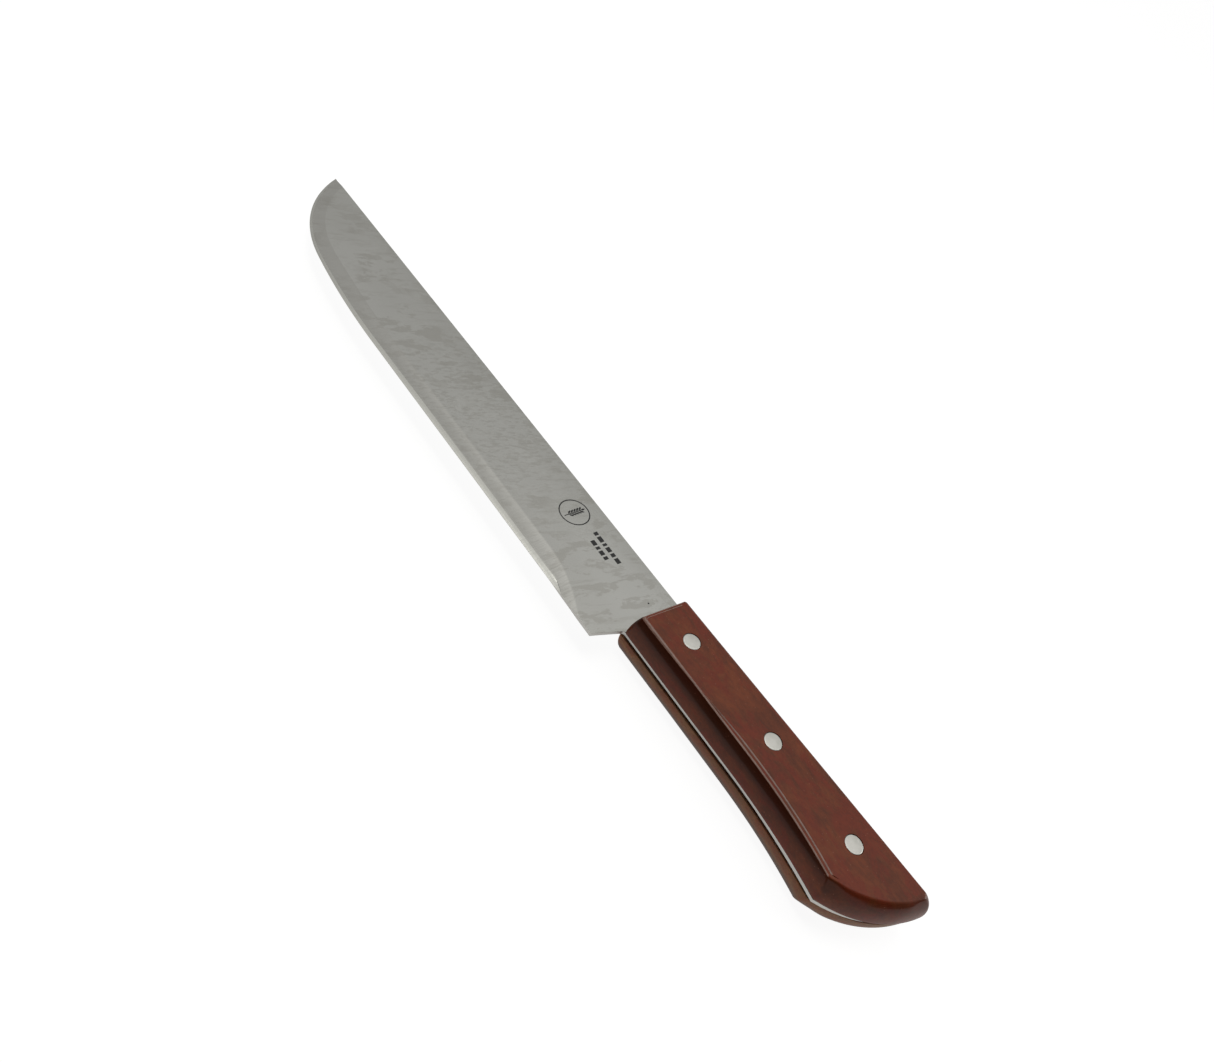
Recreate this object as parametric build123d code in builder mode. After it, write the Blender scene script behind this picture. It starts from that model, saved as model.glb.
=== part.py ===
from build123d import *
from math import acos, cos, degrees, radians, sin, sqrt
import os

# Kitchen knife with a full tang, two riveted handle scales and a plain edge.
# It lies on its right side: the tip points along -X, the cutting edge faces -Y and the left side
# of the blade faces +Z. The origin is the bottom centre of the bounding box. Sizes are in mm.

# ---------------------------------------------------------------- driving dimensions
BLADE_LENGTH = 255.0  # tip to the front of the scales, a 10 inch blade
BLADE_WIDTH = 38.0  # spine to edge
BLADE_THICKNESS = 1.5  # sheet that the blade and its tang are stamped from
HANDLE_LENGTH = 120.45
SCALE_THICKNESS = 8.9
WALL_DRAFT = 9.0  # lean of the scales' side walls, in degrees
FACE_ROUND = 3.4  # round between a scale's wall and its flat face

# Handle outline: distances behind its front end and below the spine line
FRONT_DEPTH = 26.65
FRONT_LEAN = 1.2  # the belly corner of the front end is this far ahead of its spine corner
FRONT_CORNER_RADIUS = 1.6
BELLY_SLOPE = -0.0055  # fall of the belly line over its run, before it bends
BELLY_BEND_BEHIND = 54.0  # where the belly line starts to curve
LOW_CORNER_BEHIND = 97.5  # where the belly line meets the butt arc
BUTT_RADIUS = 41.7
BUTT_CENTRE_RISE = 6.7  # centre of the butt arc above the spine line
REAR_CORNER_RADIUS = 2.2
RIGHT_FRONT_AHEAD = 1.2  # the right scale starts this far ahead of the left one

# Tang, inside the left scale's outline
TANG_RECESS = 0.45  # along the straight stretch of the belly, easing to nothing at its low corner
TANG_BUTT_INSET = 1.5  # at the spine end of the butt, from almost nothing at its low corner
GLUE_GAP_HEIGHT = 0.35  # shadow gap between the tang and the right scale
GLUE_GAP_DEPTH = 1.2

# Blade outline
POINT_ANGLE = 58.6  # between the spine and the edge, at the tip
BELLY_ARCS = ((72.5, 49.8), (350.5, 8.8))  # radius and degrees, from the tip to the straight edge
HEEL_AHEAD = 5.5  # heel corner, ahead of the scales
NOTCH_AHEAD = 1.4  # where the back of the heel meets the tang, ahead of the scales
NOTCH_RADIUS = 1.5

# Grind on both sides: a wide shallow band along the edge, then the narrow cutting bevel
BAND_WIDTH = 8.2
BAND_EDGE_THICKNESS = 0.9
BAND_END_AHEAD = 41.0  # where the band starts to run out, ahead of the scales
BAND_RUNOUT_RADIUS = 45.0
BEVEL_WIDTH = 2.2
BEVEL_EDGE_THICKNESS = 0.2
BEVEL_END_AHEAD = 28.0
BEVEL_RUNOUT_RADIUS = 8.0
CUTTER_CLEARANCE = 1.0  # how far the grinding sections reach past the blade

# Two-piece cutler's rivets: name, distance behind the scales' front, depth below the spine
RIVETS = (("front", 15.0, 13.5), ("middle", 55.5, 12.8), ("rear", 93.0, 13.1))
HEAD_RADIUS = 3.15
HEAD_DEPTH = 1.5
HEAD_EDGE_ROUND = 0.25
SOCKET_RADIUS = 2.1
POST_RADIUS = 1.5
POST_TIP_GAP = 0.8  # between the post's tip and the bottom of its socket
SOCKET_MOUTH_GAP = 0.6  # between the socket's mouth and the post's head

# ---------------------------------------------------------------- derived places
overall_length = BLADE_LENGTH + HANDLE_LENGTH
tip_x = -overall_length / 2
tip_heading = (cos(radians(POINT_ANGLE)), -sin(radians(POINT_ANGLE)))
tip_inward = (-tip_heading[1], tip_heading[0])
butt_x = overall_length / 2
front_x = butt_x - HANDLE_LENGTH
spine_y = BLADE_WIDTH / 2
blade_bottom = SCALE_THICKNESS
mid_height = SCALE_THICKNESS + BLADE_THICKNESS / 2
handle_top = 2 * SCALE_THICKNESS + BLADE_THICKNESS
rivet_spots = [(front_x + behind, spine_y - depth) for _, behind, depth in RIVETS]

# The handle is longest where the butt arc meets the rounded spine corner
butt_centre_drop = BUTT_CENTRE_RISE + REAR_CORNER_RADIUS
butt_centre_reach = sqrt((BUTT_RADIUS - REAR_CORNER_RADIUS) ** 2 - butt_centre_drop**2)
butt_centre_x = butt_x - REAR_CORNER_RADIUS - butt_centre_reach
butt_corner_x = butt_centre_x + sqrt(BUTT_RADIUS**2 - BUTT_CENTRE_RISE**2)
low_corner_x = front_x + LOW_CORNER_BEHIND
low_corner_drop = sqrt(BUTT_RADIUS**2 - (low_corner_x - butt_centre_x) ** 2)
low_corner_y = spine_y + BUTT_CENTRE_RISE - low_corner_drop


# ---------------------------------------------------------------- shared outlines and paths
def belly_point(behind, recess=0.0):
    """Point of the straight stretch of the belly line, at a distance behind the front end."""
    return (front_x + behind, spine_y - FRONT_DEPTH + BELLY_SLOPE * behind + recess)


def handle_outline(front_ahead=0.0, recess=0.0, butt_inset=0.0):
    """Side view of the handle: a straight front and spine, a belly that bends down, a butt arc."""
    bend = belly_point(BELLY_BEND_BEHIND, recess)
    low_corner = (low_corner_x, low_corner_y)
    butt_corner = (butt_corner_x - butt_inset, spine_y)
    with BuildSketch() as outline:
        with BuildLine():
            front_corner = belly_point(-front_ahead - FRONT_LEAN, recess)
            Polyline(bend, front_corner, (front_x - front_ahead, spine_y), butt_corner)
            TangentArc(bend, low_corner, tangent=(1, BELLY_SLOPE))
            RadiusArc(low_corner, butt_corner, -BUTT_RADIUS)
        make_face()
        fillet(outline.vertices().sort_by(Axis.X)[:2], FRONT_CORNER_RADIUS)
        fillet(outline.vertices().sort_by(Axis.X)[-2:], REAR_CORNER_RADIUS)
    return outline.sketch


def edge_path(end_ahead, runout_radius, runout_width):
    """Path of a grinding section along the edge, from the tip to where it leaves the blade."""
    runout_angle = degrees(acos(1 - runout_width / runout_radius))
    with BuildLine() as path:
        ahead_of_tip = (
            tip_x - CUTTER_CLEARANCE * tip_heading[0],
            spine_y - CUTTER_CLEARANCE * tip_heading[1],
            mid_height,
        )
        stretch = Line(ahead_of_tip, (tip_x, spine_y, mid_height))
        for radius, angle in BELLY_ARCS:
            stretch = JernArc(stretch @ 1, stretch % 1, radius, angle)
        straight = Line(stretch @ 1, (front_x - end_ahead, (stretch @ 1).Y, mid_height))
        JernArc(straight @ 1, straight % 1, runout_radius, -runout_angle)
    return path.line


def grinding_cutter(path, width, full_thickness, edge_thickness):
    """Solid that thins the left side from full_thickness to edge_thickness over width."""
    slope = (full_thickness - edge_thickness) / 2 / width
    outer_height = edge_thickness / 2 - slope * CUTTER_CLEARANCE
    clear_height = BLADE_THICKNESS / 2 + CUTTER_CLEARANCE
    section_plane = Plane(origin=path @ 0, x_dir=(*tip_inward, 0), z_dir=(*tip_heading, 0))
    with BuildPart() as cutter:
        with BuildSketch(section_plane):
            with BuildLine():
                Polyline(
                    (width, full_thickness / 2),
                    (-CUTTER_CLEARANCE, outer_height),
                    (-CUTTER_CLEARANCE, clear_height),
                    (width, clear_height),
                    close=True,
                )
            make_face()
        sweep(path=path)
        mirror(about=Plane.XY.offset(mid_height))
    return cutter.part


left_outline = handle_outline()
right_outline = handle_outline(front_ahead=RIGHT_FRONT_AHEAD)
tang_outline = handle_outline(recess=TANG_RECESS, butt_inset=TANG_BUTT_INSET)

# ---------------------------------------------------------------- blade and tang, one stamping
with BuildPart() as blade:
    with BuildSketch(Plane.XY.offset(blade_bottom)) as blade_outline:
        add(tang_outline)
        with BuildLine():
            tip = (tip_x, spine_y)
            stretch = JernArc(tip, tip_heading, *BELLY_ARCS[0])
            for radius, angle in BELLY_ARCS[1:]:
                stretch = JernArc(stretch @ 1, stretch % 1, radius, angle)
            heel = (front_x - HEEL_AHEAD, (stretch @ 1).Y)
            notch = belly_point(-NOTCH_AHEAD, TANG_RECESS)
            tang_start = belly_point(BELLY_BEND_BEHIND / 2, TANG_RECESS)
            Polyline(stretch @ 1, heel, notch, tang_start, (tang_start[0], spine_y), tip)
        make_face()
        fillet(blade_outline.vertices().sort_by_distance(notch)[0], NOTCH_RADIUS)
    extrude(amount=BLADE_THICKNESS)

    band_path = edge_path(BAND_END_AHEAD, BAND_RUNOUT_RADIUS, BAND_WIDTH)
    add(
        grinding_cutter(band_path, BAND_WIDTH, BLADE_THICKNESS, BAND_EDGE_THICKNESS),
        mode=Mode.SUBTRACT,
    )
    band_slope = (BLADE_THICKNESS - BAND_EDGE_THICKNESS) / BAND_WIDTH
    bevel_full_thickness = BAND_EDGE_THICKNESS + band_slope * BEVEL_WIDTH
    bevel_path = edge_path(BEVEL_END_AHEAD, BEVEL_RUNOUT_RADIUS, BEVEL_WIDTH)
    add(
        grinding_cutter(bevel_path, BEVEL_WIDTH, bevel_full_thickness, BEVEL_EDGE_THICKNESS),
        mode=Mode.SUBTRACT,
    )

    with BuildSketch(Plane.XY.offset(blade_bottom)):
        with Locations(*rivet_spots):
            Circle(SOCKET_RADIUS)
    extrude(amount=BLADE_THICKNESS, mode=Mode.SUBTRACT)

# ---------------------------------------------------------------- handle scales
def handle_scale(outline):
    """Scale for the right side, with its flat face down and its rivet holes counterbored."""
    with BuildPart() as scale:
        with BuildSketch(Plane.XY.offset(blade_bottom)):
            add(outline)
        extrude(amount=-SCALE_THICKNESS, taper=WALL_DRAFT)
        fillet(scale.faces().sort_by(Axis.Z)[0].edges(), FACE_ROUND)
        with BuildSketch():
            with Locations(*rivet_spots):
                Circle(HEAD_RADIUS)
        extrude(amount=HEAD_DEPTH, mode=Mode.SUBTRACT)
        with BuildSketch():
            with Locations(*rivet_spots):
                Circle(SOCKET_RADIUS)
        extrude(amount=SCALE_THICKNESS, mode=Mode.SUBTRACT)
    return scale.part


with BuildPart() as left_scale:
    mirror(handle_scale(left_outline), about=Plane.XY.offset(mid_height))

with BuildPart() as right_scale:
    add(handle_scale(right_outline))
    with BuildSketch(Plane.XY.offset(blade_bottom)):
        add(right_outline)
        with Locations((0, GLUE_GAP_DEPTH)):
            add(right_outline, mode=Mode.SUBTRACT)
    extrude(amount=-GLUE_GAP_HEIGHT, mode=Mode.SUBTRACT)

# ---------------------------------------------------------------- rivets
rivet_pieces = []
for (name, _, _), spot in zip(RIVETS, rivet_spots):
    with BuildPart() as socket:
        with BuildSketch(Plane.XY):
            with Locations(spot):
                Circle(HEAD_RADIUS)
        extrude(amount=HEAD_DEPTH)
        fillet(socket.edges().group_by(Axis.Z)[0], HEAD_EDGE_ROUND)
        with BuildSketch(Plane.XY.offset(HEAD_DEPTH)):
            with Locations(spot):
                Circle(SOCKET_RADIUS)
        extrude(amount=handle_top - 2 * HEAD_DEPTH - SOCKET_MOUTH_GAP)
        with BuildSketch(Plane.XY.offset(handle_top - HEAD_DEPTH - SOCKET_MOUTH_GAP)):
            with Locations(spot):
                Circle(POST_RADIUS)
        extrude(amount=-(handle_top - 2 * HEAD_DEPTH - SOCKET_MOUTH_GAP), mode=Mode.SUBTRACT)
    socket.part.label = f"rivet_socket_{name}"
    rivet_pieces.append(socket.part)

    with BuildPart() as post:
        with BuildSketch(Plane.XY.offset(handle_top)):
            with Locations(spot):
                Circle(HEAD_RADIUS)
        extrude(amount=-HEAD_DEPTH)
        fillet(post.edges().group_by(Axis.Z)[-1], HEAD_EDGE_ROUND)
        with BuildSketch(Plane.XY.offset(handle_top - HEAD_DEPTH)):
            with Locations(spot):
                Circle(POST_RADIUS)
        extrude(amount=-(handle_top - 2 * HEAD_DEPTH - POST_TIP_GAP))
    post.part.label = f"rivet_post_{name}"
    rivet_pieces.append(post.part)

# ---------------------------------------------------------------- export
blade.part.label = "blade"
left_scale.part.label = "left_scale"
right_scale.part.label = "right_scale"

os.makedirs("parts", exist_ok=True)
for piece in (blade.part, left_scale.part, right_scale.part, *rivet_pieces):
    export_step(piece, f"parts/{piece.label}.step")
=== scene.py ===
import math

import bmesh
import bpy
from mathutils import Matrix, Vector
from mathutils.geometry import tessellate_polygon


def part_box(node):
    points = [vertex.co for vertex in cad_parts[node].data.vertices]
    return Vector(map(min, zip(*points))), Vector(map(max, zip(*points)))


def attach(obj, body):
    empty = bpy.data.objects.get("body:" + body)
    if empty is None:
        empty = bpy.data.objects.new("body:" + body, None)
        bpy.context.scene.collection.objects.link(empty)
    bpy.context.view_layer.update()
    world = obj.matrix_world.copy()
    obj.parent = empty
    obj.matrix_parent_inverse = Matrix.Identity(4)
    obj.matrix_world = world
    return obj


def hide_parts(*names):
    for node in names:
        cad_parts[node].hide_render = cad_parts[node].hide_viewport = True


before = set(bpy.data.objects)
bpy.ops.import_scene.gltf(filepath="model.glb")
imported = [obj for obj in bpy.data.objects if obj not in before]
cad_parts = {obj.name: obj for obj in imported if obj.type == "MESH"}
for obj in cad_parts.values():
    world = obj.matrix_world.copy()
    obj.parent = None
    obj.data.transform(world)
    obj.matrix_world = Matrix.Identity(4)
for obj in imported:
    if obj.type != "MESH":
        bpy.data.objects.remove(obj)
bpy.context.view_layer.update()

# ================================================================ sizes, in millimetres
# The knife lies on its right side. Shapes are worked out in a knife frame: x runs back from the
# front of the handle, y runs up from the line of the spine, and z runs out of the left side from
# the middle of the blade's thickness.
MM = 0.001
HANDLE_LENGTH = 120.45
blade_low, blade_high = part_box("blade")
scale_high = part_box("left_scale")[1]
origin = Vector((scale_high.x - HANDLE_LENGTH * MM, blade_high.y, (blade_low.z + blade_high.z) / 2))

blade_length = (origin.x - blade_low.x) / MM
blade_width = (blade_high.y - blade_low.y) / MM
sheet = (blade_high.z - blade_low.z) / MM
half_sheet = sheet / 2
scale_height = (scale_high.z - blade_high.z) / MM
tang_end = (blade_high.x - origin.x) / MM


def place(x, y, z):
    """A point of the knife frame, as a point of the part's frame in metres."""
    return origin + Vector((x, y, z)) * MM


# Blade outline: arcs from the tip to the straight edge, then the heel and the notch behind it
POINT_ANGLE = 58.6  # between the spine and the edge, at the tip
BELLY_ARCS = ((72.5, 49.8), (350.5, 8.8))
HEEL_X = -5.5
NOTCH_X = -1.4
NOTCH_ROUND = 1.1  # from the notch's corner to where its round starts
STATION_STEP = 1.6  # spacing of the blade's cross-sections

# Grind: a hollow band along the edge and a narrow cutting bevel, the same on both sides
BAND_WIDTH = 8.2
BAND_TIP_WIDTH = 5.6  # narrower round the point
BAND_EDGE_HALF = 0.37  # half the thickness at the foot of the band
BAND_END_X = -41.0  # where the band starts to leave the edge
BAND_RUNOUT = 45.0
BAND_SHARES = (0.0, 0.12, 0.3, 0.46, 0.6, 0.7, 0.78, 0.86, 0.93, 1.0)
BEVEL_WIDTH = 2.1
BEVEL_TIP_WIDTH = 0.9
BEVEL_END_X = -30.0
BEVEL_RUNOUT = 12.0
BEVEL_SHARES = (0.0, 0.06, 0.38, 0.48, 0.94)  # rows close to each crease keep it crisp
BEVEL_BREAK = (0.43, 0.6)  # where the outer facet meets the inner one: share of width and of rise
EDGE_HALF = 0.11
SHEAR_ROUND = 0.1  # broken corner of the sheet

# Handle outline, seen from the side
FRONT_DEPTH = 26.65
FRONT_LEAN = 1.2  # the belly corner of the front end is this far ahead of its spine corner
RIGHT_AHEAD = 1.2  # the right scale starts this far ahead of the left one
BELLY_SLOPE = 0.0055
BELLY_BEND_X = 54.0
LOW_CORNER = (97.5, -31.02)
BUTT_RADIUS = 41.7
BUTT_CENTRE = (79.72, 6.7)
BUTT_END_X = 120.88  # where the butt arc would meet the spine
REAR_ROUND = 2.0
TANG_RECESS = 0.45  # at the front of the belly, easing to nothing at the low corner
TANG_BUTT_INSET = 1.5
RIVETS = {"front": (15.0, -13.5), "middle": (55.5, -12.8), "rear": (93.0, -13.1)}
HEAD_RADIUS = 3.15
HEAD_DEPTH = 1.5
HOLE_RADIUS = 2.1
POST_RADIUS = 1.5


# ================================================================ mesh helpers
def finished(bm, name, materials, sharp_angle=35):
    """Turns a bmesh into an object that rides on the knife, with smooth shading between creases."""
    bmesh.ops.remove_doubles(bm, verts=bm.verts, dist=2e-7)
    bmesh.ops.dissolve_degenerate(bm, edges=bm.edges, dist=1e-7)
    bmesh.ops.recalc_face_normals(bm, faces=bm.faces)
    mesh = bpy.data.meshes.new(name)
    bm.to_mesh(mesh)
    bm.free()
    for material in materials:
        mesh.materials.append(material)
    for polygon in mesh.polygons:
        polygon.use_smooth = True
    mesh.set_sharp_from_angle(angle=math.radians(sharp_angle))
    piece = bpy.data.objects.new(name, mesh)
    bpy.context.scene.collection.objects.link(piece)
    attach(piece, "root")
    return piece


def add_loop(bm, points):
    return [bm.verts.new(place(*point)) for point in points]


def bridge(bm, first, second, highlighted=()):
    """Quads between two loops with the same number of vertices; the highlighted ones use material 1, which on
    the left scale is the lacquer with a painted highlight.
    """
    count = len(first)
    for i in range(count):
        j = (i + 1) % count
        face = bm.faces.new((first[i], first[j], second[j], second[i]))
        face.material_index = 1 if i in highlighted else 0


def fill_with_holes(bm, outer, holes):
    """Flat face inside the outer loop, with holes."""
    loops = [outer, *holes]
    flat = [vertex for loop in loops for vertex in loop]
    for triangle in tessellate_polygon([[vertex.co for vertex in loop] for loop in loops]):
        bm.faces.new([flat[i] for i in triangle])


def circle_points(centre, radius, z, count=64):
    turn = 2 * math.pi / count
    return [
        (centre[0] + radius * math.cos(i * turn), centre[1] + radius * math.sin(i * turn), z)
        for i in range(count)
    ]


def smooth(value, low, high):
    """0 below low, 1 above high, with a smooth change between."""
    share = min(1.0, max(0.0, (value - low) / (high - low)))
    return share * share * (3 - 2 * share)


# ================================================================ blade
def edge_stations():
    """Points of the cutting edge from the tip to the heel, each with its inward direction."""
    stations = []
    x, y, heading = -blade_length, 0.0, -POINT_ANGLE
    for radius, angle in BELLY_ARCS:
        a = math.radians(heading)
        centre = (x - radius * math.sin(a), y + radius * math.cos(a))
        steps = math.ceil(radius * math.radians(angle) / min(STATION_STEP, 0.01 * radius))
        for i in range(steps):
            turned = a + math.radians(angle) * i / steps
            inward = (-math.sin(turned), math.cos(turned))
            edge = (centre[0] - radius * inward[0], centre[1] - radius * inward[1])
            stations.append((edge, inward))
        heading += angle
        a = math.radians(heading)
        x, y = centre[0] + radius * math.sin(a), centre[1] - radius * math.cos(a)
    steps = math.ceil((HEEL_X - x) / STATION_STEP)
    stations += [((x + (HEEL_X - x) * i / steps, -blade_width), (0.0, 1.0)) for i in range(steps + 1)]
    return stations


def runout_gap(x, start, radius):
    """How far a grinding wheel's path has left the edge at x."""
    return math.sqrt(radius**2 + max(0.0, x - start) ** 2) - radius


def band_width(x):
    return BAND_TIP_WIDTH + (BAND_WIDTH - BAND_TIP_WIDTH) * smooth(x, -252, -175)


def bevel_width(x):
    """Narrower towards the tip, where the point is left thick."""
    width = BEVEL_TIP_WIDTH + (BEVEL_WIDTH - BEVEL_TIP_WIDTH) * smooth(x, -250, -90)
    return width * (0.1 + 0.9 * smooth(x, -blade_length, -blade_length + 7))


def half_thickness(x, inset):
    """Half the blade's thickness at a distance inward from the cutting edge."""
    softness = 1 - smooth(x, -215, -115)

    def band_half(share):
        crisp = 0.29 * share + 0.71 * share**3.2  # meets the flat at a crease
        soft = share**3 * (4 - 3 * share)  # runs into the flat without one
        return BAND_EDGE_HALF + (half_sheet - BAND_EDGE_HALF) * (crisp + (soft - crisp) * softness)

    width = band_width(x)
    band = band_half(min(1.0, (inset + runout_gap(x, BAND_END_X, BAND_RUNOUT)) / width))
    share = min(1.0, (inset + runout_gap(x, BEVEL_END_X, BEVEL_RUNOUT)) / bevel_width(x))
    if share == 1.0:
        return band
    across, up = BEVEL_BREAK
    rise = up * share / across if share < across else up + (1 - up) * (share - across) / (1 - across)
    edge = BAND_EDGE_HALF - (BAND_EDGE_HALF - EDGE_HALF) * smooth(x, -blade_length, -blade_length + 9)
    return min(band, edge + (band_half(bevel_width(x) / width) - edge) * rise)


def belly_y(x, recess=0.0):
    """Belly line of the handle, or the tang's inside it: straight at first, then falling away."""
    low_x, low_y = LOW_CORNER
    front_y = recess - FRONT_DEPTH
    fall = (front_y - BELLY_SLOPE * low_x - low_y) / (low_x - BELLY_BEND_X) ** 2
    return front_y - BELLY_SLOPE * x - fall * max(0.0, x - BELLY_BEND_X) ** 2


def tang_butt():
    """Centre of the tang's butt arc, from its two ends."""
    low = Vector(LOW_CORNER)
    high = Vector((BUTT_END_X - TANG_BUTT_INSET, 0.0))
    half = (high - low) / 2
    away = Vector((-half.y, half.x)).normalized()
    return low + half + away * math.sqrt(BUTT_RADIUS**2 - half.length_squared)


def tang_profile():
    """Columns of the tang behind the heel, as (x, lowest y, highest y)."""
    corner = Vector((NOTCH_X, belly_y(NOTCH_X, TANG_RECESS)))
    heel = Vector((HEEL_X, -blade_width))
    start = corner + (heel - corner).normalized() * NOTCH_ROUND
    end = corner + Vector((NOTCH_ROUND, -BELLY_SLOPE * NOTCH_ROUND))
    columns = [(*heel.lerp(start, t), 0.0) for t in (0.25, 0.5, 0.75, 1.0)]
    for t in (0.2, 0.4, 0.6, 0.8, 1.0):
        columns.append((*start.lerp(corner, t).lerp(corner.lerp(end, t), t), 0.0))
    centre = tang_butt()
    x = 1.5
    while x < tang_end - 0.02:
        low = belly_y(x, TANG_RECESS)
        if x > LOW_CORNER[0] - 5:
            low = max(low, centre.y - math.sqrt(max(0.0, BUTT_RADIUS**2 - (x - centre.x) ** 2)))
        past = max(0.0, x - (tang_end - REAR_ROUND))
        high = -REAR_ROUND + math.sqrt(max(0.0, REAR_ROUND**2 - past**2))
        columns.append((x, min(low, high), high))
        x += min(3.0, max(0.25, (tang_end - x) / 6))
    return columns


def build_blade(materials):
    """One closed skin: each cross-section is a ring that runs over the left side and back."""
    flat_rows = 9
    crease = 0.25  # first row of the flat beyond the band
    rings = []
    for (x, y), (nx, ny) in edge_stations():
        bevel = max(0.0, bevel_width(x) - runout_gap(x, BEVEL_END_X, BEVEL_RUNOUT))
        band = max(0.0, band_width(x) - runout_gap(x, BAND_END_X, BAND_RUNOUT))
        bevel = min(max(bevel, SHEAR_ROUND), 0.8 * max(band, 2 * SHEAR_ROUND))
        band = max(band, bevel + SHEAR_ROUND)
        insets = [bevel * share for share in BEVEL_SHARES]
        insets += [bevel + (band - bevel) * share for share in BAND_SHARES]
        reach = max(0.0, (-SHEAR_ROUND - y) / ny)
        rows = []
        for inset in [min(inset, reach) for inset in insets]:
            half = half_thickness(x, inset)
            if inset == 0:
                half = min(half, max(EDGE_HALF, half - SHEAR_ROUND * smooth(half, 0.45, 0.6)))
            rows.append((x + nx * inset, y + ny * inset, half))
        top_x, top_y, top_half = rows[-1]
        ceiling = max(top_y, -SHEAR_ROUND)
        first = min(top_y + crease, ceiling)
        for i in range(flat_rows + 1):
            rows.append((top_x, first + (ceiling - first) * i / flat_rows, top_half))
        rows.append((top_x, 0.0, top_half - SHEAR_ROUND))
        rings.append(rows)
    ground_rows = len(BEVEL_SHARES) + len(BAND_SHARES) - 1
    for x, low, high in tang_profile():
        rows = [(x, low, half_sheet - SHEAR_ROUND)]
        first = low + SHEAR_ROUND
        last = max(first, high - SHEAR_ROUND)
        base = min(first + SHEAR_ROUND, last)
        rows += [(x, first + (base - first) * i / ground_rows, half_sheet) for i in range(ground_rows)]
        rows += [(x, base + (last - base) * i / flat_rows, half_sheet) for i in range(flat_rows + 1)]
        rows.append((x, high, half_sheet - SHEAR_ROUND))
        rings.append(rows)

    bm = bmesh.new()
    loops = []
    for rows in rings:
        mirrored = [(x, y, -z) for x, y, z in reversed(rows)]
        loops.append(add_loop(bm, rows + mirrored))
    row_count = len(rings[0])
    station_count = len(edge_stations())
    for i, (first, second) in enumerate(zip(loops, loops[1:])):
        for j in range(2 * row_count):
            k = (j + 1) % (2 * row_count)
            face = bm.faces.new((first[j], first[k], second[k], second[j]))
            row = min(j, 2 * row_count - 2 - j) if j < 2 * row_count - 1 else -1
            if row < 0 or row >= row_count - 2:
                face.material_index = 3
            elif i >= station_count - 1:
                face.material_index = 0
            elif row < len(BEVEL_SHARES):
                face.material_index = 2
            elif row < ground_rows:
                face.material_index = 1
    for end in (loops[0], loops[-1]):
        for j in range(row_count - 1):
            corners = (end[j], end[j + 1], end[-2 - j], end[-1 - j])
            face = bm.faces.new(corners)
            face.material_index = 3
    blade = finished(bm, "blade_sheet", materials, 20)
    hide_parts("blade")


# ================================================================ handle scales
EDGE_COUNTS = {"front": 14, "belly": 90, "butt": 44, "spine": 60}
CORNER_COUNT = 12
HIGHLIGHT_END = EDGE_COUNTS["front"] + EDGE_COUNTS["belly"] + 2 * CORNER_COUNT - 6  # end of the edge strip that carries the painted highlight


def butt_point(angle, radius):
    return (BUTT_CENTRE[0] + radius * math.cos(angle), BUTT_CENTRE[1] + radius * math.sin(angle))


def handle_outline(insets, radii, ahead):
    """Closed outline of the handle, moved inward on its front, belly, butt and spine sides."""
    front, belly, butt, spine = insets
    radius = BUTT_RADIUS - butt

    def belly_curve(x):
        return belly_y(x) + belly(x)

    # where the belly meets the butt arc
    low, high = 60.0, HANDLE_LENGTH
    for _ in range(50):
        middle = (low + high) / 2
        inside = math.dist((middle, belly_curve(middle)), BUTT_CENTRE) < radius
        low, high = (middle, high) if inside else (low, middle)
    corner = (low, belly_curve(low))
    start = math.atan2(corner[1] - BUTT_CENTRE[1], corner[0] - BUTT_CENTRE[0])
    end = math.asin((-spine(HANDLE_LENGTH) - BUTT_CENTRE[1]) / radius)
    butt_end = butt_point(end, radius)[0]
    front_top = Vector((front - ahead, -spine(0.0)))
    front_low = Vector((front_top.x - FRONT_LEAN, belly_curve(front)))
    samples = 160
    shares = [i / samples for i in range(samples + 1)]
    belly_run = [front_low.x + (corner[0] - front_low.x) * s for s in shares]
    spine_run = [butt_end + (front_top.x - butt_end) * s for s in shares]
    sides = {
        "front": [tuple(front_top.lerp(front_low, s)) for s in shares],
        "belly": [(x, belly_curve(x)) for x in belly_run],
        "butt": [butt_point(start + (end - start) * s, radius) for s in shares],
        "spine": [(x, -spine(max(0.0, x))) for x in spine_run],
    }
    names = list(sides)
    trims = {}
    for i, name in enumerate(names):
        after = sides[names[(i + 1) % 4]]
        ahead_way = (Vector(sides[name][-1]) - Vector(sides[name][-2])).normalized()
        after_way = (Vector(after[1]) - Vector(after[0])).normalized()
        turn = math.acos(max(-1.0, min(1.0, ahead_way.dot(after_way))))
        trims[name] = (radii[i] * math.tan(turn / 2), math.cos(turn / 2))
    points = []
    for i, name in enumerate(names):
        before = trims[names[i - 1]][0]
        trimmed = along(sides[name], before, trims[name][0], EDGE_COUNTS[name])
        points += trimmed
        follower = names[(i + 1) % 4]
        sharp = Vector(sides[name][-1])
        start_point = Vector(trimmed[-1])
        end_point = Vector(along(sides[follower], trims[name][0], 0.0, 2)[0])
        weight = trims[name][1]
        for step in range(1, CORNER_COUNT):
            u = step / CORNER_COUNT
            a, b, c = (1 - u) ** 2, 2 * weight * u * (1 - u), u * u
            point = (start_point * a + sharp * b + end_point * c) / (a + b + c)
            points.append((point.x, point.y))
    return points


def along(points, skip_start, skip_end, count):
    """Evenly spaced points on a polyline, between a distance from its start and one from its end."""
    lengths = [0.0]
    for a, b in zip(points, points[1:]):
        lengths.append(lengths[-1] + math.dist(a, b))
    result = []
    segment = 0
    for i in range(count):
        target = skip_start + (lengths[-1] - skip_start - skip_end) * i / (count - 1)
        while segment < len(points) - 2 and lengths[segment + 1] < target:
            segment += 1
        share = (target - lengths[segment]) / (lengths[segment + 1] - lengths[segment])
        a, b = points[segment], points[segment + 1]
        result.append((a[0] + (b[0] - a[0]) * share, a[1] + (b[1] - a[1]) * share))
    return result


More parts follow.
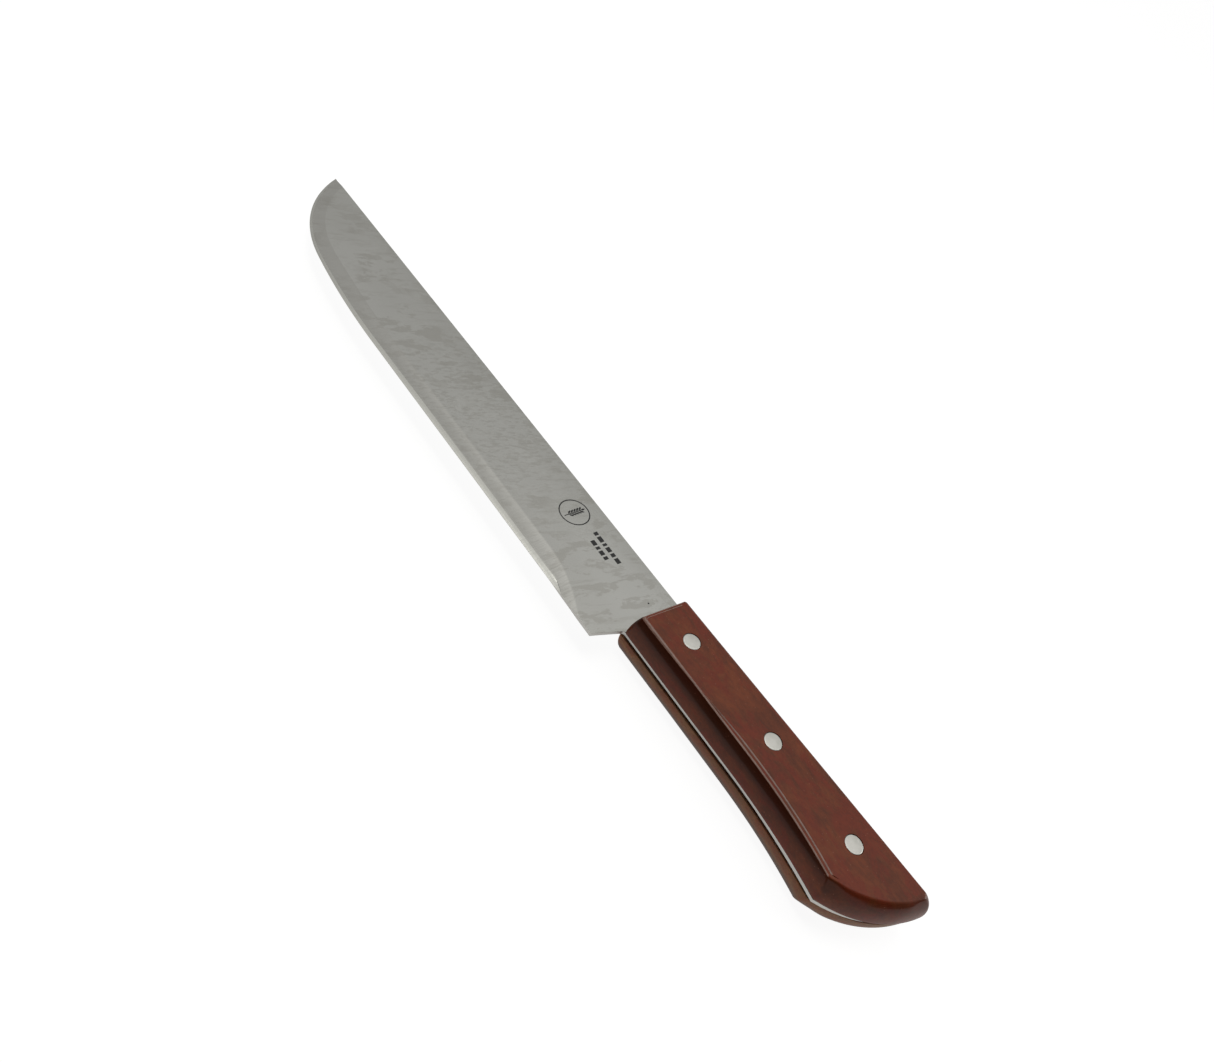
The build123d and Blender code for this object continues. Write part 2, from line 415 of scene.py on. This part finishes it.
def belly_round(x):
    """Width of the rounding along the belly, narrower towards the low corner."""
    return 3.65 - 0.0065 * x - 0.00073 * max(0.0, x - 66) ** 2


def spine_round(x):
    """Width of the rounding along the spine, narrower towards the butt."""
    return 5.35 - 0.0196 * x


def wall_shares():
    """Rise of a scale's wall, as shares of its width and height.

    Each step has a crisp form, a long bulge and then a tight edge, and a soft elliptical one.
    """
    turn = math.radians(40)
    edge = 1.5
    bulge = (scale_height - edge * (1 - math.sin(turn))) / math.sin(turn)
    width = bulge * (1 - math.cos(turn)) + edge * math.cos(turn)
    shares = []
    for i in range(1, 13):
        a = turn * i / 12
        shares.append((bulge * (1 - math.cos(a)) / width, bulge * math.sin(a) / scale_height))
    inward, upward = shares[-1]
    for i in range(1, 11):
        a = turn + (math.pi / 2 - turn) * i / 10
        shares.append((
            inward + edge * (math.cos(turn) - math.cos(a)) / width,
            upward + edge * (math.sin(a) - math.sin(turn)) / scale_height,
        ))
    quarter = math.pi / 2 / len(shares)
    soft = [(1 - math.cos(i * quarter), math.sin(i * quarter)) for i in range(1, len(shares) + 1)]
    return list(zip(shares, soft))


def build_scale(name, node, side, ahead, belly_extra, butt_extra, gap, ledge, materials):
    """A handle scale: side is 1 for the left one and -1 for the right one.

    The outline is moved inward by belly_extra and butt_extra, gap is the dark joint between the
    scale and the tang, and ledge is how far the face drops beside its bead.
    """
    ease = 0.22
    foot_radii = (1.3, 2.0, 2.0, 1.0)
    face_radii = (1.0, 1.2, 1.6, 0.8)

    def even(inset):
        insets = (inset, lambda x: belly_extra + inset, butt_extra + inset, lambda x: inset)
        return handle_outline(insets, [radius - inset / 4 for radius in foot_radii], ahead)

    def face_outline(extra):
        """Edge of the flat face, or a line inside it by a share of the ledge strip's width."""
        insets = (
            1.6 + 0.5 * extra,
            lambda x: belly_round(x) + extra * (0.12 + 0.88 * smooth(x, 28, 52)),
            butt_extra + 3.9 + 0.5 * extra,
            lambda x: spine_round(x) + 0.5 * extra,
        )
        return handle_outline(insets, face_radii, ahead)

    foot = even(0.0)
    eased = even(ease)
    face = face_outline(0.0)
    rings = []
    base = gap
    if gap:
        inner = even(1.2)
        rings.append([(x, y, 0.0) for x, y in inner])
        rings.append([(x, y, gap) for x, y in inner])
    rings.append([(x, y, base) for x, y in eased])
    for angle in (30, 60, 90):
        a = math.radians(angle)
        rings.append([
            (e[0] + (f[0] - e[0]) * math.sin(a), e[1] + (f[1] - e[1]) * math.sin(a),
             base + ease * (1 - math.cos(a)))
            for e, f in zip(eased, foot)
        ])
    base += ease
    # The ledge runs along the belly from behind the front rivet to the low corner
    drops = [
        ledge * smooth(x, 26, 40) * smooth(-y, 18, 20) * (1 - smooth(x, 96.2, 97.6)) for x, y in face
    ]
    # The wall is rounder at the butt, and a little at the front
    softness = [
        smooth(-y, 6, 12) * max(smooth(x, 96, 101), 0.5 * (1 - smooth(x, 4, 34))) for x, y in face
    ]
    for crisp, soft in wall_shares():
        ring = []
        for f, t, drop, weight in zip(foot, face, drops, softness):
            inward = crisp[0] + (soft[0] - crisp[0]) * weight
            upward = crisp[1] + (soft[1] - crisp[1]) * weight
            z = base + (scale_height - base - drop) * upward
            ring.append((f[0] + (t[0] - f[0]) * inward, f[1] + (t[1] - f[1]) * inward, z))
        rings.append(ring)
    for extra, rise in (
        (0.4, 0.0), (0.95, 0.0), (1.02, 0.08), (1.1, 0.3), (1.2, 0.68), (1.3, 0.93), (1.4, 1.0), (1.6, 1.0)
    ):
        rings.append([
            (x, y, scale_height - drop * (1 - rise)) for (x, y), drop in zip(face_outline(extra), drops)
        ])

    bm = bmesh.new()
    lift = half_sheet
    loops = [add_loop(bm, [(x, y, side * (z + lift)) for x, y, z in ring]) for ring in rings]
    count = len(loops)
    lines = [*range(count - 15, count - 9), *range(count - 7, count - 2)]  # the wall's edge and the bead, which get the painted highlight
    for i, (first, second) in enumerate(zip(loops, loops[1:])):
        bridge(bm, first, second, highlighted=range(HIGHLIGHT_END) if i in lines else ())
    counterbores = []
    bores = []
    for centre in RIVETS.values():
        mouth_z = scale_height + lift
        floor_z = mouth_z - HEAD_DEPTH
        profile = [
            (HEAD_RADIUS + 0.16, mouth_z), (HEAD_RADIUS + 0.06, mouth_z - 0.1),
            (HEAD_RADIUS + 0.06, floor_z), (HOLE_RADIUS, floor_z), (HOLE_RADIUS, lift),
        ]
        rims = [add_loop(bm, circle_points(centre, radius, side * z)) for radius, z in profile]
        for first, second in zip(rims, rims[1:]):
            bridge(bm, first, second)
        counterbores.append(rims[0])
        bores.append(rims[-1])
    fill_with_holes(bm, loops[-1], counterbores)
    fill_with_holes(bm, loops[0], bores)
    scale = finished(bm, name, materials, 32)
    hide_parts(node)


# ================================================================ rivets
def build_rivet(name, node, centre, side, post, material):
    """Half of a two-piece rivet, turned: a low crowned head on a post or on a tube."""
    top = scale_height + half_sheet
    crown = 0.07
    flat = 2.92
    profile = [(0.0, top)]
    for i in range(1, 7):
        radius = flat * i / 6
        profile.append((radius, top - crown * (radius / flat) ** 2))
    for gap, drop in ((0.13, 0.09), (0.06, 0.13), (0.02, 0.18), (0.0, 0.26)):
        profile.append((HEAD_RADIUS - gap, top - drop))
    profile.append((HEAD_RADIUS, top - HEAD_DEPTH))
    if post:
        end = -(top - HEAD_DEPTH - 0.8)
        profile += [
            (POST_RADIUS, top - HEAD_DEPTH), (POST_RADIUS, end + 0.3), (POST_RADIUS - 0.3, end), (0.0, end),
        ]
    else:
        mouth = -(top - HEAD_DEPTH - 0.6)
        profile += [
            (HOLE_RADIUS, top - HEAD_DEPTH), (HOLE_RADIUS, mouth), (POST_RADIUS, mouth),
            (POST_RADIUS, top - HEAD_DEPTH), (0.0, top - HEAD_DEPTH),
        ]
    bm = bmesh.new()
    loops = [
        add_loop(bm, circle_points(centre, radius, side * z)) for radius, z in profile if radius
    ]
    for first, second in zip(loops, loops[1:]):
        bridge(bm, first, second)
    for loop, (_, z) in ((loops[0], profile[0]), (loops[-1], profile[-1])):
        middle = bm.verts.new(place(*centre, side * z))
        for a, b in zip(loop, loop[1:] + loop[:1]):
            bm.faces.new((a, b, middle))
    rivet = finished(bm, name, [material], 30)
    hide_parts(node)


# ================================================================ etched mark
def build_mark(material):
    """A plain etched mark: a wheat ear in a ring, two rows of bars and a dot, without lettering."""
    thickness = 0.006
    sink = 0.002
    bm = bmesh.new()

    def slab(points):
        top = add_loop(bm, [(x, y, half_sheet + thickness) for x, y in points])
        bottom = add_loop(bm, [(x, y, half_sheet - sink) for x, y in points])
        bridge(bm, top, bottom)
        bm.faces.new(top)
        bm.faces.new(bottom[::-1])

    def ring(centre, outer, inner, count=48):
        loops = [
            add_loop(bm, circle_points(centre, radius, z, count))
            for radius, z in (
                (outer, half_sheet - sink), (outer, half_sheet + thickness),
                (inner, half_sheet + thickness), (inner, half_sheet - sink),
            )
        ]
        for first, second in zip(loops, loops[1:] + loops[:1]):
            bridge(bm, first, second)

    def leaf(base, angle, length, width):
        """A pointed grain from its base, as two arcs."""
        cosine, sine = math.cos(angle), math.sin(angle)
        shares = (0, 0.12, 0.3, 0.5, 0.7, 0.88, 1)
        half = [(length * t, width / 2 * math.sin(math.pi * t) ** 0.8) for t in shares]
        local = half + [(x, -y) for x, y in half[-2:0:-1]]
        slab([(base[0] + x * cosine - y * sine, base[1] + x * sine + y * cosine) for x, y in local])

    centre = (-50.7, -11.2)
    ring(centre, 6.1, 5.62)
    foot = (centre[0], centre[1] - 4.7)
    slab([
        (foot[0] - 0.18, foot[1]), (foot[0] + 0.18, foot[1]),
        (foot[0] + 0.18, foot[1] + 7.8), (foot[0] - 0.18, foot[1] + 7.8),
    ])
    for i in range(5):
        height = foot[1] + 2.0 + i * 1.25
        for lean in (-1, 1):
            leaf((foot[0] + lean * 0.25, height), math.radians(90 - lean * 34), 1.95, 0.78)
    leaf((foot[0], foot[1] + 7.8), math.radians(90), 1.8, 0.8)
    bar_height = 1.9
    for start, y, lengths in (
        (-40.2, -9.4, (1.5, 2.6, 1.1, 2.2, 1.6, 2.4)),
        (-37.4, -12.9, (2.3, 1.2, 2.0, 1.4)),
    ):
        x = start
        for length in lengths:
            slab([
                (x, y - bar_height / 2), (x + length, y - bar_height / 2),
                (x + length, y + bar_height / 2), (x, y + bar_height / 2),
            ])
            x += length + 0.75
    dot = circle_points((-6.9, -10.3), 0.34, 0, 16)
    slab([(x, y) for x, y, _ in dot])
    mark = finished(bm, "etched_mark", [material], 30)


# ================================================================ materials
class Shader:
    """A node material with one Principled shader, and short ways to add texture nodes."""

    def __init__(self, name):
        self.material = bpy.data.materials.new(name)
        self.material.use_nodes = True
        self.tree = self.material.node_tree
        self.tree.nodes.clear()
        output = self.tree.nodes.new("ShaderNodeOutputMaterial")
        self.principled = self.tree.nodes.new("ShaderNodeBsdfPrincipled")
        self.tree.links.new(self.principled.outputs[0], output.inputs[0])
        coordinates = self.tree.nodes.new("ShaderNodeTexCoord")
        self.normal = coordinates.outputs["Normal"]
        self.position = self.node("ShaderNodeMapping", coordinates.outputs["Object"])
        self.position.inputs["Scale"].default_value = (1 / MM,) * 3

    def put(self, socket, value):
        if isinstance(value, bpy.types.Node):
            value = value.outputs[0]
        if isinstance(value, bpy.types.NodeSocket):
            self.tree.links.new(value, socket)
        else:
            socket.default_value = value

    def node(self, kind, *values, **named):
        made = self.tree.nodes.new(kind)
        for socket, value in zip(made.inputs, values):
            if value is not None:
                self.put(socket, value)
        for name, value in named.items():
            self.put(made.inputs[name.replace("_", " ")], value)
        return made

    def noise(self, scale, detail=3.0, roughness=0.5, distortion=0.0, turn=0.0):
        """Noise from 0 to 1, in cycles per millimetre along each axis, turned by degrees about Z."""
        turned = self.position
        if turn:
            turned = self.node("ShaderNodeMapping", self.position)
            turned.inputs["Rotation"].default_value[2] = math.radians(turn)
        stretched = self.node("ShaderNodeMapping", turned)
        stretched.inputs["Scale"].default_value = scale
        made = self.node("ShaderNodeTexNoise", stretched, Scale=1.0, Detail=detail)
        made.inputs["Roughness"].default_value = roughness
        made.inputs["Distortion"].default_value = distortion
        return made

    def ramp(self, value, low, high, bottom=0.0, top=1.0):
        """Value from low to high, turned into bottom to top with a smooth change."""
        made = self.node("ShaderNodeMapRange", value, low, high, bottom, top)
        made.interpolation_type = "SMOOTHSTEP"
        return made

    def math(self, operation, *values):
        made = self.node("ShaderNodeMath", *values)
        made.operation = operation
        return made

    def mix(self, share, first, second, blend="MIX"):
        made = self.tree.nodes.new("ShaderNodeMix")
        made.data_type = "RGBA"
        made.blend_type = blend
        for index, value in ((0, share), (6, first), (7, second)):
            self.put(made.inputs[index], (*value, 1.0) if isinstance(value, tuple) else value)
        return made.outputs[2]

    def bump(self, height, distance, strength=1.0, normal=None):
        made = self.node("ShaderNodeBump", Height=height)
        made.inputs["Strength"].default_value = strength
        made.inputs["Distance"].default_value = distance * MM
        if normal is not None:
            self.put(made.inputs["Normal"], normal)
        return made

    def set(self, **values):
        for name, value in values.items():
            value = (*value, 1.0) if isinstance(value, tuple) else value
            self.put(self.principled.inputs[name.replace("_", " ")], value)
        return self.material


def steel(name, tint, roughness, stain_strength, grind=0.0):
    """Stainless sheet: satin, with water marks, wiped smudges, a mottled patch and uneven tone.

    A ground face also has strokes across it, as deep as grind in millimetres and brightest near the heel.
    """
    shader = Shader(name)
    cloud = shader.noise((0.03, 0.05, 0.05), 3, 0.55, 0.6)
    broad = shader.noise((0.012, 0.03, 0.03), 2, 0.5)
    islands = shader.noise((0.09, 0.2, 0.16), 7, 0.68, 0.25, turn=-74)
    crisp = shader.math("MULTIPLY", shader.ramp(islands, 0.53, 0.56), shader.ramp(cloud, 0.42, 0.55))
    rims = shader.math("MULTIPLY", shader.ramp(islands, 0.505, 0.53), shader.ramp(islands, 0.575, 0.55))
    wiped = shader.noise((0.06, 0.42, 0.3), 5, 0.62, 0.1, turn=-74)
    smears = shader.math("MULTIPLY", shader.ramp(wiped, 0.53, 0.64), shader.ramp(broad, 0.38, 0.52))
    along_knife = shader.node("ShaderNodeSeparateXYZ", shader.position)
    patch = shader.math("MULTIPLY", shader.ramp(along_knife, -100, -60), shader.ramp(along_knife, 25, -15))
    mottle = shader.ramp(shader.noise((0.3, 0.75, 0.6), 6, 0.7, 0.2, turn=-74), 0.5, 0.58)
    mottle = shader.math("MULTIPLY", patch, mottle)
    dull = tuple(c * f for c, f in zip(tint, (0.84, 0.835, 0.825)))
    deep = tuple(c * f for c, f in zip(tint, (0.74, 0.725, 0.70)))
    colour = shader.mix(shader.ramp(broad, 0.36, 0.64, 0.0, 0.5 * stain_strength), tint, dull)
    colour = shader.mix(shader.math("MULTIPLY", mottle, 0.5 * stain_strength), colour, deep)
    colour = shader.mix(shader.math("MULTIPLY", crisp, 0.6 * stain_strength), colour, deep)
    colour = shader.mix(shader.math("MULTIPLY", rims, 0.22 * stain_strength), colour, deep)
    colour = shader.mix(shader.math("MULTIPLY", smears, 0.35 * stain_strength), colour, deep)
    rough = shader.ramp(islands, 0.4, 0.62, roughness - 0.02, roughness + 0.04)
    normal = shader.bump(shader.noise((0.15, 0.5, 0.5), 2, 0.5), 0.0012)
    if grind:
        strokes = shader.noise((1.9, 0.08, 0.12), 2, 0.5)
        normal = shader.bump(strokes, grind, 1.0, normal)
        colour = shader.mix(shader.ramp(strokes, 0.35, 0.7, 0.0, 0.25), colour, dull)
        near_heel = shader.ramp(along_knife, 0, 50, 0.0, 0.3)
        ragged = shader.math("MULTIPLY", shader.ramp(strokes, 0.56, 0.44), near_heel)
        colour = shader.mix(ragged, colour, tuple(c * 1.2 for c in tint))
    return shader.set(Base_Color=colour, Metallic=1.0, Roughness=rough, Normal=normal)


def lacquered_wood(name, dark, light, red, specks=1.0, coat=0.28, coat_roughness=0.1, wall_shade=0.85):
    """Resin-filled wood under a clear lacquer: mottled, faintly streaked, with small light specks.

    Painted shade darkens the rounded walls by their tilt, less so at the butt.
    """
    shader = Shader(name)
    cloud = shader.noise((0.05, 0.09, 0.09), 5, 0.65, 0.8)
    streaks = shader.noise((0.12, 0.7, 0.7), 5, 0.62, 0.5)
    blush = shader.noise((0.07, 0.15, 0.15), 4, 0.6, 1.2)
    grain = shader.noise((0.5, 0.8, 0.8), 5, 0.75)
    tone = shader.math(
        "ADD", shader.ramp(cloud, 0.34, 0.66, 0.0, 0.7), shader.ramp(streaks, 0.32, 0.68, 0.0, 0.3)
    )
    colour = shader.mix(tone, dark, light)
    colour = shader.mix(shader.ramp(blush, 0.44, 0.60, 0, 0.8), colour, red)
    shade = shader.ramp(grain, 0.44, 0.62)
    colour = shader.mix(shader.math("MULTIPLY", shade, 0.24), colour, tuple(c * 0.45 for c in dark))
    upright = shader.node("ShaderNodeSeparateXYZ", shader.normal).outputs["Z"]
    tilt = shader.math("ABSOLUTE", upright)
    # painted shade: walls tilted between about 15 and 80 degrees from flat are darkened, standing in for the
    # dark band they show
    wall_shade_mask = shader.math("MULTIPLY", shader.ramp(tilt, 0.2, 0.45), shader.ramp(tilt, 0.97, 0.85))
    along_knife = shader.node("ShaderNodeSeparateXYZ", shader.position)
    wall_shade_mask = shader.math("MULTIPLY", wall_shade_mask, shader.ramp(along_knife, 156, 172, 1.0, 0.4))
    colour = shader.mix(shader.math("MULTIPLY", wall_shade_mask, wall_shade), colour, tuple(c * 0.3 for c in dark))
    cells = shader.node("ShaderNodeTexVoronoi", shader.position, Scale=0.85)
    dots = shader.ramp(cells, 0.20, 0.06)
    chosen = shader.math("GREATER_THAN", cells.outputs["Color"], 0.6)
    crowd = shader.ramp(shader.noise((0.05, 0.08, 0.08), 2), 0.36, 0.56)
    marks = shader.math("MULTIPLY", shader.math("MULTIPLY", dots, chosen), crowd)
    colour = shader.mix(shader.math("MULTIPLY", marks, 0.55 * specks), colour, (0.36, 0.15, 0.09))
    threads = shader.noise((0.5, 1.6, 1.6), 4, 0.7, 2.0, turn=35)
    scuffs = shader.math("MULTIPLY", shader.ramp(threads, 0.66, 0.72), crowd)
    colour = shader.mix(shader.math("MULTIPLY", scuffs, 0.35 * specks), colour, (0.33, 0.14, 0.09))
    waves = shader.noise((0.06, 0.2, 0.2), 2)
    normal = shader.bump(waves, 0.04)
    normal = shader.bump(grain, 0.003, 1.0, normal)
    material = shader.set(
        Base_Color=colour, Roughness=shader.ramp(cloud, 0.3, 0.7, 0.36, 0.48),
        Normal=normal, Specular_IOR_Level=0.15, Coat_Weight=coat, Coat_Roughness=coat_roughness, Coat_IOR=1.5,
    )
    shader.put(shader.principled.inputs["Coat Normal"], shader.bump(waves, 0.012))
    return material


def brushed_rivet(name):
    """Fine satin rivet metal with faint scratches and a slightly warm tone."""
    shader = Shader(name)
    cloud = shader.noise((0.4, 0.5, 0.5), 3)
    scratches = shader.noise((6.0, 0.8, 0.8), 3, 0.6)
    colour = shader.mix(shader.ramp(cloud, 0.3, 0.7), (0.55, 0.545, 0.505), (0.62, 0.61, 0.575))
    normal = shader.bump(scratches, 0.001)
    return shader.set(
        Base_Color=colour, Metallic=1.0, Roughness=shader.ramp(cloud, 0.3, 0.7, 0.30, 0.38), Normal=normal
    )


def etching(name):
    """Dark oxide left by etching, slightly worn."""
    shader = Shader(name)
    wear = shader.noise((2.6, 2.6, 2.6), 4, 0.65)
    colour = shader.mix(shader.ramp(wear, 0.58, 0.72, 0.0, 0.7), (0.012, 0.012, 0.013), (0.12, 0.12, 0.115))
    return shader.set(Base_Color=colour, Roughness=shader.ramp(wear, 0.3, 0.7, 0.5, 0.7), Metallic=0.0)


flat_steel = steel("flat_steel", (0.46, 0.46, 0.437), 0.21, 1.0)
# The grind band's tint is painted darker and the cutting bevel's lighter than the flat: painted shade and
# painted highlight for how these faces reflect the room, over their real grinding strokes and roughness.
band_steel_shaded = steel("band_steel_shaded", (0.42, 0.417, 0.394), 0.2, 0.7, grind=0.001)
bevel_steel_lit = steel("bevel_steel_lit", (0.48, 0.48, 0.45), 0.28, 0.15, grind=0.002)
# The edge faces have a rougher sheared finish, and their tint is painted much lighter as a painted reflection
# of the floor they face.
sheared_steel_lit = steel("sheared_steel_lit", (0.68, 0.665, 0.63), 0.3, 0.2)
left_wood = lacquered_wood("left_wood", (0.125, 0.025, 0.006), (0.245, 0.053, 0.013), (0.215, 0.027, 0.007))
# Glossier lacquer for the wall's top edge and the bead, with its colour painted much lighter as the highlight
# lines these edges catch.
highlight_edge_lacquer = lacquered_wood(
    "highlight_edge_lacquer", (0.26, 0.13, 0.095), (0.42, 0.25, 0.20), (0.30, 0.15, 0.11),
    coat=0.8, coat_roughness=0.3, wall_shade=0.0,
)
right_wood = lacquered_wood(
    "right_wood", (0.21, 0.082, 0.03), (0.34, 0.145, 0.052), (0.27, 0.07, 0.024), specks=0.6, coat=0.15
)
rivet_metal = brushed_rivet("rivet_satin")
mark_ink = etching("etched_oxide")

build_blade([flat_steel, band_steel_shaded, bevel_steel_lit, sheared_steel_lit])
build_scale(
    "left_scale_shell", "left_scale", side=1, ahead=0.0, belly_extra=0.0, butt_extra=0.02, gap=0.0,
    ledge=0.13, materials=[left_wood, highlight_edge_lacquer],
)
build_scale(
    "right_scale_shell", "right_scale", side=-1, ahead=RIGHT_AHEAD, belly_extra=-0.15, butt_extra=0.7,
    gap=0.35, ledge=0.0, materials=[right_wood, right_wood],
)
for spot, centre in RIVETS.items():
    build_rivet(f"post_{spot}", f"rivet_post_{spot}", centre, 1, True, rivet_metal)
    build_rivet(f"socket_{spot}", f"rivet_socket_{spot}", centre, -1, False, rivet_metal)
build_mark(mark_ink)

# ================================================================ floor, light and camera
FLOOR_SIZE = 6.0
FLOOR_DROP = 0.0002  # below the handle, so that the two faces don't coincide


def build_floor():
    """Pale floor: as grey as a table in what the knife reflects, and lit to white for the camera."""
    bm = bmesh.new()
    bmesh.ops.create_grid(bm, x_segments=2, y_segments=2, size=FLOOR_SIZE / 2)
    mesh = bpy.data.meshes.new("floor")
    bm.to_mesh(mesh)
    bm.free()
    shader = Shader("pale_floor")
    tone = shader.noise((0.01, 0.01, 0.01), 2)
    grey = shader.mix(shader.ramp(tone, 0.3, 0.7), (0.38, 0.38, 0.37), (0.42, 0.42, 0.41))
    path = shader.tree.nodes.new("ShaderNodeLightPath")
    seen = path.outputs["Is Camera Ray"]
    grey = shader.mix(seen, grey, (0.2, 0.2, 0.2))
    mesh.materials.append(
        shader.set(
            Base_Color=grey, Roughness=0.8, Specular_IOR_Level=0.0, Emission_Color=(1.0, 1.0, 1.0),
            Emission_Strength=shader.node("ShaderNodeMapRange", seen, 0.0, 1.0, 0.45, 0.93),
        )
    )
    floor = bpy.data.objects.new("floor", mesh)
    floor.location.z = -FLOOR_DROP
    bpy.context.scene.collection.objects.link(floor)


def build_world():
    """A studio room: soft light from behind and above, and a dark side towards the viewer.

    On the dark side a pale card, which only reflections see, keeps the steel from looking black
    from behind. The camera itself sees a white page.
    """
    world = bpy.data.worlds.new("studio")
    bpy.context.scene.world = world
    world.use_nodes = True
    tree = world.node_tree
    tree.nodes.clear()

    def add(kind, **inputs):
        made = tree.nodes.new(kind)
        for name, value in inputs.items():
            socket = made.inputs[name.replace("_", " ")]
            if isinstance(value, bpy.types.NodeSocket):
                tree.links.new(value, socket)
            else:
                socket.default_value = value
        return made

    direction = add("ShaderNodeTexCoord").outputs["Generated"]
    parts = add("ShaderNodeSeparateXYZ", Vector=direction)
    ramp = add("ShaderNodeValToRGB", Fac=parts.outputs["Z"])
    stops = (
        (0.0, 0.40), (0.5, 0.64), (0.55, 0.645), (0.594, 0.59), (0.64, 0.625), (0.707, 0.72),
        (0.77, 0.95), (0.86, 1.12), (0.966, 1.5),
    )
    ramp.color_ramp.elements.remove(ramp.color_ramp.elements[0])
    ramp.color_ramp.elements[0].position = stops[0][0]
    ramp.color_ramp.elements[0].color = (stops[0][1],) * 3 + (1.0,)
    for position, level in stops[1:]:
        element = ramp.color_ramp.elements.new(position)
        element.color = (level,) * 3 + (1.0,)

    def towards(way, low, high, bottom, top):
        """Bottom to top, as the dot product of the direction and a way goes from low to high."""
        facing = add("ShaderNodeVectorMath", Vector=direction)
        facing.operation = "DOT_PRODUCT"
        facing.inputs[1].default_value = way
        share = add("ShaderNodeMapRange", Value=facing.outputs["Value"])
        share.interpolation_type = "SMOOTHSTEP"
        for name, value in (("From Min", low), ("From Max", high), ("To Min", bottom), ("To Max", top)):
            share.inputs[name].default_value = value
        return share.outputs[0]

    def calculate(operation, *values):
        made = add("ShaderNodeMath")
        made.operation = operation
        for socket, value in zip(made.inputs, values):
            tree.links.new(value, socket)
        return made.outputs[0]

    path = add("ShaderNodeLightPath")
    lit_side = towards((0.40, -0.917, 0.0), -0.34, -0.04, 1.0, 0.03)
    card = towards((0.707, -0.707, 0.0), 0.80, 0.93, 0.0, 0.7)
    level = calculate("MULTIPLY", ramp.outputs["Color"], lit_side)
    level = calculate("MULTIPLY_ADD", card, path.outputs["Is Glossy Ray"], level)
    room = add("ShaderNodeBackground", Color=(1.0, 0.995, 0.975, 1.0), Strength=level)
    page = add("ShaderNodeBackground", Color=(1.0, 1.0, 1.0, 1.0), Strength=1.0)
    choice = tree.nodes.new("ShaderNodeMixShader")
    tree.links.new(path.outputs["Is Camera Ray"], choice.inputs[0])
    tree.links.new(room.outputs[0], choice.inputs[1])
    tree.links.new(page.outputs[0], choice.inputs[2])
    output = tree.nodes.new("ShaderNodeOutputWorld")
    tree.links.new(choice.outputs[0], output.inputs[0])


def build_lamp(name, centre, size, radiance, tint):
    """A soft rectangular panel that faces the knife, or straight down where it hangs over the X axis."""
    lamp = bpy.data.lights.new(name, "AREA")
    lamp.shape = "RECTANGLE"
    lamp.size, lamp.size_y = size
    lamp.energy = radiance * math.pi * size[0] * size[1]
    lamp.color = tint
    holder = bpy.data.objects.new(name, lamp)
    holder.location = centre
    if centre[1]:
        holder.rotation_euler = Vector(centre).to_track_quat("Z", "Y").to_euler()
    bpy.context.scene.collection.objects.link(holder)


LENS = 27.58  # focal length for a 36 mm sensor
CAMERA_SPOT = (84.4, -214.55, 230.27 + half_sheet)  # in the knife frame
CAMERA_RIGHT = (0.5784, 0.7327, 0.3586)
CAMERA_BACK = (0.3680, -0.6267, 0.6869)


def build_camera():
    """Looks down the knife from behind and above the handle's belly."""
    data = bpy.data.cameras.new("camera")
    data.sensor_width = 36.0
    data.lens = LENS
    data.clip_start = 0.01
    camera = bpy.data.objects.new("camera", data)
    right = Vector(CAMERA_RIGHT).normalized()
    back = Vector(CAMERA_BACK).normalized()
    up = back.cross(right).normalized()
    right = up.cross(back)
    turn = Matrix((right, up, back)).transposed().to_4x4()
    camera.matrix_world = Matrix.Translation(place(*CAMERA_SPOT)) @ turn
    bpy.context.scene.collection.objects.link(camera)
    bpy.context.scene.camera = camera


build_floor()
build_world()
build_lamp("overhead_panel", (-0.2, 0.0, 1.2), (0.75, 0.2), 5.0, (1.0, 0.99, 0.95))
build_lamp("key_panel", (0.9, 1.2, 0.5), (0.8, 0.6), 3.5, (1.0, 0.985, 0.95))
build_camera()
bpy.context.scene.view_settings.view_transform = "Standard"
